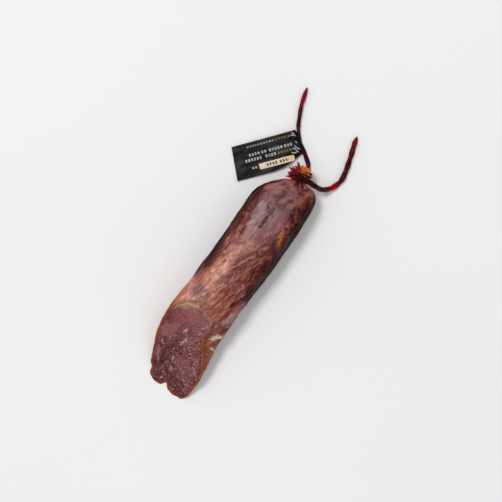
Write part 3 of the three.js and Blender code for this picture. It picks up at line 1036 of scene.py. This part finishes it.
def casing_colours(points, plan, fibres):
    """The casing's colours: mottled mauve with copper, salmon and dark stretches, and a painted mauve-grey
    sheen over the top.
    """
    slanted = turned(points, -22)
    mottle = fractal(slanted, (5, 11, 6), 4, 11)
    speckle = fractal(slanted, (2.2, 4.2, 2.4), 3, 19)
    painted_sheen = spot(plan, *SHEEN_OVAL)
    along = spot(plan, *FIBROUS)
    colours = layered(
        plain(MAUVE, len(plan)),
        (DUSK, 0.9 * smooth(0.05, 0.5, mottle)),
        (ROSE, 0.8 * smooth(0.05, 0.5, -mottle)),
    )
    colours = layered(
        add_patches(plan, colours, CASING_PATCHES),
        # painted sheen: mauve-grey laid over the top, where the speckle and tone are also calmed
        (MAUVE, 0.5 * painted_sheen),
        (COPPER, 0.7 * (1 - 0.7 * painted_sheen) * smooth(0.2, 0.7, speckle)),
        (DUSK, 0.4 * (1 - 0.6 * painted_sheen) * smooth(0.3, 0.8, -speckle)),
        # along the fibres: maroon in their furrows and salmon on their ridges, partly painted shade and
        # highlight
        (MAROON, 0.45 * along * smooth(0.15, 0.8, fibres)),
        (SALMON, 0.35 * along * smooth(0.15, 0.8, -fibres)),
    )
    tone = (0.38 * mottle + 0.26 * fractal(slanted, (1.8, 3.4, 2), 3, 23)) * (1 - 0.4 * painted_sheen)
    return richer(colours * np.exp(-tone)[:, None] * (1.08, 1.06, 1.16), 1.18)


def redder_darks(colours):
    """Dark stretches of the casing are a deep red-brown, not grey."""
    deep = smooth(0.17, 0.04, colours.mean(1))[:, None]
    return colours * (1 + deep * np.array([0.1, -0.36, -0.32]))


def wandering(points):
    """The points pushed about by wide noise, so that fibres laid over them wander."""
    shift = np.stack([noise(points, (16, 26, 16), 120 + k) for k in range(2)], 1)
    return np.concatenate([points[:, :2] + 5 * shift, points[:, 2:]], 1)


def flank_shade_and_grains(colours, points, plan, away):
    """The flanks with painted shade where they turn away from the light: dark red-brown, nearly black on the
    right and along the left edge; with rust-coloured grains on the steep sides.
    """
    ragged = 0.14 * fractal(points, (4, 12, 6), 3, 131)
    right = away[:, 0] + ragged
    left = ragged - away[:, 0]
    mottle = fractal(points, (6, 11, 5), 4, 133)
    # the stretch of the loin whose flanks get painted shade
    dried = smooth(104, 132, plan[:, 1]) * smooth(252, 238, plan[:, 1])
    patchy = 0.78 + 0.22 * smooth(0.25, -0.35, mottle)
    high = smooth(-0.55, 0.1, away[:, 2] + 0.4 * mottle)
    grains = smooth(0.25, 0.8, fractal(points, (2.4, 5, 2.4), 3, 135))
    return layered(
        colours,
        # painted shade: maroon, then black, on the flanks as they turn away from the light
        (MAROON, 0.85 * smooth(0.42, 0.72, right) * dried * patchy),
        (MAROON, 0.85 * smooth(0.45, 0.7, left) * dried * patchy),
        (BLACK, 0.95 * smooth(0.62, 0.82, right) * dried * high * patchy),
        (BLACK, 0.95 * smooth(0.8, 0.95, left) * dried * high * patchy),
        (RUST, 0.3 * grains * smooth(0.5, 0.85, np.abs(away[:, 0]))),
    )


def crag_height(points, plan):
    """How far the craggy stretches rise, and sink where it is below 0."""
    lumps = fractal(points, (3.8, 4.8, 3.8), 3, 43)
    rise = np.zeros(len(plan))
    for middle, size, depth in CRAGS:
        rise += 0.8 * depth * spot(plan, middle, size, 0, 0.6) * (np.abs(lumps) * 1.6 - 0.7)
    return rise


def casing_relief(points, plan, fibres):
    """Wide swells, slanting wrinkles and the fibres' furrows."""
    relief = 0.6 * fractal(points, (14, 26, 14), 3, 51)
    relief += 0.2 * fractal(turned(points, -20), (2.8, 7, 3), 3, 57)
    return relief - 0.3 * fibres * spot(plan, *FURROWED)


def casing_plan(points, away):
    """Where the casing's points appear from above, pushed about where it is steep."""
    steep = smooth(0.6, 0.9, np.abs(away[:, 0]))[:, None]
    drift = np.stack([noise(points, 9, 151), 3 * noise(points, 8, 152) + 1.5 * noise(points, 3, 153)], 1)
    return seen(points) + 1.6 * steep * drift


def casing_surface():
    """The casing's points with their relief, the grid's shape, the colours and how greasy it is."""
    grid, normal = loin_grid(*CASING_STEPS)
    points = grid.reshape(-1, 3)
    away = normal.reshape(-1, 3)
    plan = casing_plan(points, away)
    fibres = fractal(turned(wandering(points), -16), (1.5, 14, 3), 3, 31)
    colours = casing_colours(points, plan, fibres)
    colours, rise = add_marks(plan, colours, CASING_MARKS)
    crags = crag_height(points, plan)
    on_top = smooth(-0.25, 0.35, away[:, 2])
    relief = casing_relief(points, plan, fibres)
    height = (rise + crags) * on_top + relief * smooth(-0.9, 0.0, away[:, 2])
    points = points + away * np.clip(height, DEEPEST, HIGHEST)[:, None]
    points[:, 2] = np.maximum(points[:, 2], 0)
    # painted shade: black in the crags' hollows; orange on their raised tops
    colours = layered(
        colours,
        (BLACK, 0.85 * smooth(0.1, 1.0, -crags)),
        (ORANGE, 0.4 * smooth(0.25, 1.2, crags)),
    )
    under_cut = smooth(-4.5, -0.6, points[:, 2] - cut_height(points[:, :2]))
    colours = layered(
        flank_shade_and_grains(colours, points, plan, away),
        (COPPER, 0.6 * smooth(-0.35, -0.85, away[:, 2])),
        (DRIED_EDGE, 0.8 * under_cut * smooth(92, 60, plan[:, 1])),
    )
    greasy = GREASE * smooth(0.3, 0.85, away[:, 2])
    return points, grid.shape[:2], redder_darks(colours), greasy


def make_casing():
    points, (rows, columns), colours, greasy = casing_surface()
    faces = grid_faces(rows, columns, True, True)
    item = mesh_object("dried_casing", points, faces, tint=colours, worn=greasy)
    cut_open(item)
    add_waves(item, 1)
    thicken(item, CASING_WALL, -1)
    item.data.materials.append(CASING)
    return item


# ---------------------------------------------------------------- the cut meat
MEAT_STEPS = (1.2, 1.2, 1.5)
MEAT_INSET = CASING_WALL + 0.04  # the meat fills the casing
FACE_STEP = 0.75  # between the points of the cut face
FACE_CLEAR = 0.6 * FACE_STEP  # from those points to the rim
FLECKED = ((8, 35), (18, 40), 0, 0.7)
MEAT = (118, 62, 64)
MEAT_LIGHT = (144, 86, 88)
MEAT_DARK = (84, 30, 34)
FAT = (214, 184, 182)
VEIN = (150, 124, 132)

RIM_DARK = (74, 26, 22)
RIM_ORANGE = (158, 70, 26)
RIM_FAT = (176, 128, 84)
RIM_PALE = (176, 162, 150)

MEAT_PATCHES = [
    (MEAT_LIGHT, (-4, 76), (22, 16), 0, 0.6, 0.9),
    (MEAT_DARK, (9, 36), (14, 26), 0, 0.3, 0.9),
    (MEAT_DARK, (-14, 30), (5.5, 30), -12, 0.9, 0.7),
    (MEAT_DARK, (0, 10), (30, 9), 0, 0.8, 0.7),
    (MEAT_DARK, (3, 13), (4, 9), -20, 0.7, 0.8),
    ((140, 62, 58), (-19, 72), (3, 7), 0, 0.6, 0.8),
    ((176, 140, 110), (-25, 84), (6, 4), 0, 0.7, 0.7),
    ((150, 96, 62), (-15, 89), (7, 4), 15, 0.7, 0.7),
    ((140, 80, 60), (9, 60), (4, 18), 0, 0.35, 0.8),
]
MEAT_MARKS = [
    (FAT, [(-11.4, 60.7), (-8.9, 63.2), (-7.4, 64.7)], 0.8, 0, 0.8),
    (FAT, [(-8.9, 63.2), (-7.2, 61.2)], 0.6, 0, 0.6),
    (FAT, [(-4.9, 57.7), (-5.4, 52), (-6.4, 46.7)], 0.7, 0, 0.65),
    (FAT, [(1.6, 50.2), (2.6, 49.2)], 1.0, 0, 0.8),
    (FAT, [(-19, 65.4), (-17.8, 64)], 0.9, 0, 0.6),
    (FAT, [(-25, 43.4), (-23.8, 42)], 1.0, 0, 0.65),
    (FAT, [(-22, 41.2), (-21, 40.2)], 0.9, 0, 0.6),
    (VEIN, [(-22.4, 33.7), (-20.4, 28), (-16.4, 21.7)], 0.9, -0.2, 0.75),
    (FAT, [(-7.4, 36.7), (-6, 33), (-4.4, 28.7)], 0.6, 0, 0.65),
    (FAT, [(-4.4, 24.7), (-2.4, 22.5), (-1.4, 19.7)], 0.6, 0, 0.7),
    (FAT, [(-5.4, 13.7), (-6.4, 7.7)], 0.5, 0, 0.5),
    (FAT, [(1.6, 70.7), (4, 73.5), (6.6, 75.7)], 0.6, 0, 0.5),
    (MEAT_DARK, [(2.2, 6), (-2, 12), (-8, 22), (-14, 34)], 2.4, -0.7, 0.6),
    (MEAT_DARK, [(-17, 50), (-15, 60), (-14, 70)], 1.6, -0.3, 0.4),
]


def meat_colours(points):
    """The cut face's colours with its fat and veins, and how far they rise."""
    plan = seen(points)
    clouds = fractal(turned(points, 35), (7, 12, 8), 4, 81)
    colours = layered(
        plain(MEAT, len(plan)),
        (MEAT_LIGHT, 0.7 * smooth(0.0, 0.6, clouds)),
        (MEAT_DARK, 0.6 * smooth(0.0, 0.6, -clouds)),
    )
    colours, rise = add_marks(plan, add_patches(plan, colours, MEAT_PATCHES), MEAT_MARKS)
    wide = spot(plan, (4, 38), (20, 46), 0, 0.5)
    flecks = fractal(turned(points, 48), (1.1, 2.6, 1.5), 2, 87)
    return paint(colours, FAT, 0.6 * (0.35 + 0.65 * wide) * smooth(0.62, 0.95, flecks)), rise


def boundary_loop(work):
    """The open edge's vertices in order."""
    edges = {e for e in work.edges if e.is_boundary}
    edge = max(edges, key=lambda e: e.verts[0].co.y)
    first, at = edge.verts
    loop = [first]
    while at != first:
        loop.append(at)
        edge = next(e for e in at.link_edges if e in edges and e != edge)
        at = edge.other_vert(at)
    return loop


def face_points(rim):
    """Slightly uneven points over the cut's plan, clear of its rim."""
    low, high = rim.min(0), rim.max(0)
    x, y = np.meshgrid(*[np.arange(low[k], high[k], FACE_STEP) for k in (0, 1)])
    inner = np.stack([x.ravel(), y.ravel()], 1)
    inner += 0.2 * np.stack([noise(flat_points(*inner.T), 0.9, 5 + k) for k in (0, 1)], 1)
    gap = np.full(len(inner), 1e9)
    for point in rim:
        gap = np.minimum(gap, np.hypot(*(inner - point).T))
    return inner[gap > FACE_CLEAR]


def fill_cut(work):
    """Closes the cut with a fine mesh, so that it can carry the knife's waves."""
    loop = boundary_loop(work)
    rim = np.array([v.co for v in loop]) / MM
    plan = [Vector(p) for p in [*rim[:, :2], *face_points(rim[:, :2])]]
    edges = [(i, (i + 1) % len(rim)) for i in range(len(rim))]
    spots, _, faces, origin, _, _ = geometry.delaunay_2d_cdt(plan, edges, [], 1, 1e-4)
    heights = cut_height(np.array(spots))
    made = {}
    for i in sorted({i for face in faces for i in face}):
        if origin[i] and origin[i][0] < len(rim):
            made[i] = loop[origin[i][0]]
        else:
            made[i] = work.verts.new((spots[i].x * MM, spots[i].y * MM, heights[i] * MM))
    for face in faces:
        corners = [made[i] for i in face]
        if len(set(corners)) == len(corners):
            work.faces.new(corners)
    return rim[::2]


def make_meat():
    grid, _ = loin_grid(*MEAT_STEPS, MEAT_INSET)
    rows, columns = grid.shape[:2]
    item = mesh_object("cut_meat", grid.reshape(-1, 3), grid_faces(rows, columns, True, True))
    cut_open(item)
    work = bmesh.new()
    work.from_mesh(item.data)
    bmesh.ops.remove_doubles(work, verts=work.verts[:], dist=1e-6)
    rim = fill_cut(work)
    bmesh.ops.recalc_face_normals(work, faces=work.faces[:])
    work.to_mesh(item.data)
    work.free()
    add_waves(item, 1)
    rim[:, 2] += cut_waves(rim[:, :2])
    paint_meat(item.data, rim)
    item.data.materials.append(MEAT_MATERIAL)
    return item


def paint_rim(points, plan, colours, rim):
    """The dried edge of the cut: orange-brown low down, and fat at the top."""
    gap = np.full(len(points), 1e9)
    for point in rim:
        gap = np.minimum(gap, np.linalg.norm(points - point, axis=1))
    ragged = gap + 0.7 * noise(points, 3, 101)
    torn = ragged + 1.6 * noise(points, 3.5, 103)
    low = smooth(84, 60, plan[:, 1])
    top = smooth(72, 80, plan[:, 1]) * (0.35 + 0.65 * smooth(-2, -12, plan[:, 0]))
    return layered(
        colours,
        (RIM_DARK, 0.75 * smooth(4.0, 1.2, ragged) * low),
        (RIM_ORANGE, 0.9 * smooth(1.9, 0.9, ragged) * low),
        (RIM_FAT, 0.75 * smooth(3.2, 0.6, torn) * top),
        (RIM_PALE, 0.7 * smooth(2.0, 0.2, torn + noise(points, 1.6, 104)) * top),
    )


def paint_meat(mesh, rim):
    """Paints the meat, raises its marks on the cut face, and says where flecks of fat lie thickest."""
    points = mesh_points(mesh)
    colours, rise = meat_colours(points)
    on_face = smooth(-2.5, -0.2, points[:, 2] - cut_height(points[:, :2]) - cut_waves(points[:, :2]))
    points[:, 2] += on_face * rise
    move_points(mesh, points)
    plan = seen(points)
    set_attribute(mesh, "tint", paint_rim(points, plan, colours, rim))
    set_attribute(mesh, "fleck", 0.45 + 0.55 * spot(plan, *FLECKED))
    mesh.shade_smooth()


# ---------------------------------------------------------------- the gathered end beyond the tie
NECK_STEPS = 40
NECK_SIDES = 96
NECK_PLEATS = 13
NECK_FLARE = [(-9, 13), (-6, 9.5), (-3.4, NECK_RADIUS), (3, NECK_RADIUS), (5, 7)]  # reach and radius
SHEET_WALL = 0.35
TUFT_SHEETS = 44
TUFT_FROM = -82  # the sheets' turns from straight out, in degrees
TUFT_SPREAD = 196
LAYERS = [(-14, 1.0), (7, 0.95), (28, 0.8), (49, 0.6)]  # each layer's climb in degrees and share of reach
SHEET_ROWS = 24
SHEET_COLUMNS = 19
SHEET_LOWEST = 6.5
CRIMSON_FROM = 22
AMBER_FROM = -42
CRIMSON = (130, 22, 42)
CRIMSON_LIGHT = (178, 40, 62)
WINE = (82, 14, 26)
WINE_LIGHT = (150, 40, 44)
AMBER = (205, 118, 52)
AMBER_LIGHT = (232, 158, 92)
SHEET_ROOT = (48, 6, 12)


def make_neck():
    """The casing drawn in to the tie: a flare with pleats that runs into the loin's end."""
    across, out, up = neck_axes()
    reaches, radii = zip(*NECK_FLARE)
    turn, reach = np.meshgrid(
        np.linspace(0, 2 * math.pi, NECK_SIDES, endpoint=False),
        np.linspace(reaches[0], reaches[-1], NECK_STEPS),
    )
    radius = np.interp(reach, reaches, radii)
    where = np.stack([np.cos(turn).ravel() * 5, reach.ravel(), np.sin(turn).ravel() * 5], 1)
    lumps = noise(where, (1.6, 7, 1.6), 61).reshape(turn.shape)
    pleats = 0.5 * np.cos(NECK_PLEATS * turn) + 0.5 * lumps
    radius = radius * (1 + 0.07 * pleats)
    ring = ring_points(TIE + up * NECK_HEIGHT, across, up, radius, turn)
    points = (ring + out * reach[..., None]).reshape(-1, 3)
    bright = smooth(0.0, 0.6, pleats.ravel()) * smooth(-2, -7, reach.ravel())
    colours = paint(plain(MAROON, len(points)), COPPER, bright)
    faces = grid_faces(NECK_STEPS, NECK_SIDES, True, True)
    return mesh_object("neck", points, faces, tint=colours, worn=np.zeros(len(points)))


def sheet_style(turn, pick):
    """A sheet's colours, reach, width and raggedness, by how far it points to the left of straight out."""
    if turn > CRIMSON_FROM:
        return CRIMSON, CRIMSON_LIGHT, pick.uniform(8.5, 11.5), pick.uniform(3.5, 6.5), 0.45
    if turn > AMBER_FROM:
        return AMBER, AMBER_LIGHT, pick.uniform(9, 10.5), pick.uniform(7, 9.5), 0.12
    return WINE, WINE_LIGHT, pick.uniform(8, 10), pick.uniform(4.5, 7), 0.3


def sheet_shape(index, reach, width, rag):
    """A torn sheet in its own plane: its grid's columns from -1 to 1, how far out and how far aside
    each point is, and its places for noise."""
    s, w = np.meshgrid(np.linspace(0, 1, SHEET_ROWS), np.linspace(-1, 1, SHEET_COLUMNS), indexing="ij")
    edge = np.stack([w.ravel() * width, np.zeros(w.size), np.full(w.size, 9.0 * index)], 1)
    far = s * (1 + rag * noise(edge, 1.5, 3).reshape(s.shape) - 0.25 * w**2)
    aside = w * (width / 2 * (0.3 + 0.85 * np.sqrt(np.clip(far, 0, 1))))
    where = np.stack([aside.ravel(), far.ravel() * reach, np.full(w.size, index * 7.0)], 1)
    return w, far, aside, where


def shred(index):
    """One frayed sheet of the tuft, fanning out from the neck."""
    pick = np.random.default_rng(100 + index)
    across, out, up = neck_axes()
    layer = index % len(LAYERS)
    steepness, shortening = LAYERS[layer]
    turn = TUFT_FROM + TUFT_SPREAD * (index + pick.uniform(0, 1)) / TUFT_SHEETS
    styled = turn - 30 if layer == 0 and turn < CRIMSON_FROM else turn  # the lowest layer has less amber
    colour, light, reach, width, rag = sheet_style(styled, pick)
    climb = math.radians(steepness + pick.uniform(-7, 7))
    reach *= shortening
    level = out * math.cos(math.radians(turn)) - across * math.sin(math.radians(turn))
    along = level * math.cos(climb) + up * math.sin(climb)
    sideways = np.cross(along, up)
    sideways /= np.linalg.norm(sideways)
    w, far, aside, where = sheet_shape(index, reach, width, rag)
    crease = fractal(where, (1.9, 5, 2), 3, 200 + index).reshape(w.shape) * (0.15 + 0.85 * far)
    curl = pick.uniform(-0.5, 2.6) * far**2 * 1.2 + pick.uniform(-0.6, 1.0) * w**2 * far
    points = (
        TIE + up * NECK_HEIGHT + out * 2.4 + level * 1.0 + along * (reach * far)[..., None]
        + sideways * aside[..., None] + np.cross(sideways, along) * (crease + curl)[..., None]
    ).reshape(-1, 3)
    points[:, 2] = np.maximum(points[:, 2], SHEET_LOWEST)
    colours = layered(
        plain(colour, len(points)),
        (light, 0.7 * smooth(0.1, 0.8, fractal(where, (1.4, 3.2, 2), 3, 300 + index))),
        (SHEET_ROOT, 0.85 * smooth(0.4, 0.0, far.ravel())),
    )
    faces = grid_faces(SHEET_ROWS, SHEET_COLUMNS, False)
    return mesh_object(f"shred_{index}", points, faces, tint=colours, worn=np.zeros(len(points)))


def make_tuft():
    item = joined("frayed_end", [make_neck(), *[shred(i) for i in range(TUFT_SHEETS)]])
    thicken(item, SHEET_WALL, 0)
    item.data.materials.append(FRILL)
    return item


# ---------------------------------------------------------------- the label
LABEL_ROWS = 96
LABEL_COLUMNS = 190
LABEL_WALL = 0.4
LABEL_LOWEST = 0.35
NEAR_EDGE = [(0, 0), (0.28, 0.9), (0.68, 0.3), (1, 1.0)]  # how the edge by the cord runs in and out
EDGE_CURVE = 2.1
PALE_FIELD = (-44.6, -8, -29.8, -23.8)  # its left, right, bottom and top
STROKE_STEP = 3.0  # from one short stroke of the print to the next
STROKE_LENGTH = 1.9
FILM_BLACK = (13, 13, 16)
FILM_WORN = (52, 52, 56)
GLINT_WHITE = (226, 226, 230)
PRINT = (196, 192, 184)
GOLD = (176, 128, 60)
TAN = (158, 132, 96)
WINDOW = (232, 214, 192)
YELLOW = (236, 190, 70)
INK = (52, 44, 40)

# Each line of print: colour, strength, place down the label, height, and each word's start and end.
LABEL_PRINT = [
    (PRINT, 0.6, -4.4, 1.9, [(-52, -42), (-41, -36), (-35, -24)]),
    (GOLD, 0.7, -4.0, 1.9, [(-22, -11), (-9, -2)]),
    (PRINT, 0.85, -12.9, 2.9, [(-52, -41), (-39, -33), (-31, -17), (-15, -7)]),
    (PRINT, 0.85, -18, 2.9, [(-57, -39), (-36, -25)]),
    (TAN, 0.7, -18.2, 2.6, [(-23, -7)]),
]

# Painted white glints on the film's folds, by the cord.
LABEL_GLINTS = [
    [(-4.5, -1.5), (-3, -3.5), (-1.5, -6.5)],
    [(-6, -4), (-4, -5), (-2.5, -4.5)],
    [(-5, -15), (-3, -18), (-0.5, -20)],
    [(-7, -17), (-4, -20), (-2.5, -23)],
    [(-3, -11), (-1.5, -13.5)],
    [(-10, -21), (-6, -22.5), (-3.5, -21)],
]

def label_sheet():
    """The label's grid in its own plane: X along its top edge from the cord, Y down to minus its width."""
    s, t = np.meshgrid(np.linspace(0, 1, LABEL_COLUMNS), np.linspace(0, 1, LABEL_ROWS))
    near = np.interp(t, *zip(*NEAR_EDGE))
    x = (-LABEL_LENGTH - LABEL_SKEW * t) * (1 - s) + near * s
    bend = np.clip((x + LABEL_CORNER_LENGTH) / (LABEL_CORNER_LENGTH + 1), 0, 1)
    depth = LABEL_WIDTH - (LABEL_WIDTH - LABEL_END_WIDTH) * bend**EDGE_CURVE
    return x, -t * depth


def bars(x, y, row, height, words):
    """A line of print as plain blocks: each word a stretch along the row, broken into short strokes."""
    level = np.abs(y - row) < height / 2
    shown = np.zeros(x.shape)
    for start, end in words:
        broken = np.mod(x - start, STROKE_STEP) < STROKE_LENGTH
        shown = np.where(level & (x > start) & (x < end) & broken, 1.0, shown)
    return shown.ravel()


def label_colours(x, y):
    """Black film with lines of plain bars, a pale window with dark bars, and painted white glints on its
    folds.
    """
    flat = flat_points(x, y)
    dull = 0.6 * smooth(0.1, 0.9, fractal(flat, (9, 4, 9), 4, 91))
    colours = paint(plain(FILM_BLACK, x.size), FILM_WORN, dull)
    worn = 0.75 + 0.25 * noise(flat, 2.5, 93)
    for colour, strength, row, height, words in LABEL_PRINT:
        colours = paint(colours, colour, strength * bars(x, y, row, height, words) * worn)
    left, right, bottom, top = PALE_FIELD
    window = ((x > left) & (x < right) & (y < top) & (y > bottom)).ravel()
    colours = layered(
        colours,
        (PRINT, 0.7 * bars(x, y, -26.4, 2.4, [(-52, -47)])),
        (WINDOW, 0.97 * window),
        (YELLOW, 0.8 * spot(flat[:, :2], (-9, -24), (5, 3), 0, 0.8) * window),
        (INK, 0.9 * bars(x, y, -26.8, 3.0, [(-37, -26), (-23.5, -14)])),
    )
    # painted highlights: white glints along the folds by the cord
    for crease in LABEL_GLINTS:
        colours = paint(colours, GLINT_WHITE, 0.8 * stroke(flat[:, :2], crease, 0.45, 1.5))
    return colours


def label_height(flat):
    """The label's height: it rises to the cord, where it is gathered, and its far lower corner curls up."""
    near = smooth(-16, -1, flat[:, 0])
    tilt = LABEL_RISE * (flat[:, 0] + LABEL_LENGTH + LABEL_SKEW) / (LABEL_LENGTH + LABEL_SKEW)
    waves = 0.35 * fractal(flat, (22, 13, 9), 3, 95) + 0.8 * near * fractal(flat, (5, 2.6, 5), 3, 97)
    corner = 1.2 * spot(flat[:, :2], (-LABEL_LENGTH - 1, -LABEL_WIDTH + 1), (10, 10), 0, 0.9)
    gathers = 0.6 * near * np.sin(flat[:, 1] * 1.5 + 0.25 * flat[:, 0])
    z = LABEL_LIFT + 0.5 + tilt + waves + corner + gathers
    z -= 3.2 * smooth(-14, -22, flat[:, 1]) * near
    return np.maximum(z, LABEL_LOWEST)


def make_label():
    x, y = label_sheet()
    c, s = math.cos(LABEL_TURN), math.sin(LABEL_TURN)
    place = PLACE + np.array([NECK_SHIFT + LABEL_PLACE[0], TIE[1] - PLACE[1] + LABEL_PLACE[1], 0])
    turned_x = (x * c - y * s).ravel()
    turned_y = (x * s + y * c).ravel()
    points = np.stack([turned_x, turned_y, label_height(flat_points(x, y))], 1) + place
    item = mesh_object("film_label", points, grid_faces(*x.shape, False), tint=label_colours(x, y))
    thicken(item, LABEL_WALL, 0)
    item.data.materials.append(LABEL)
    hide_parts("label")
    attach(item, "root")
    return item


# ---------------------------------------------------------------- putting it together
CASING = casing_material()
MEAT_MATERIAL = meat_material()
FRILL = frill_material()
CORD = cord_material()
LABEL = label_material()

make_camera()
side, upper = make_cords()
label = make_label()

casing = make_casing()
tuft = make_tuft()
for piece in (casing, tuft):
    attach(piece, "root")
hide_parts("casing")
meat = make_meat()
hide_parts("loin_meat")
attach(meat, "root")

make_floor()
make_lights()
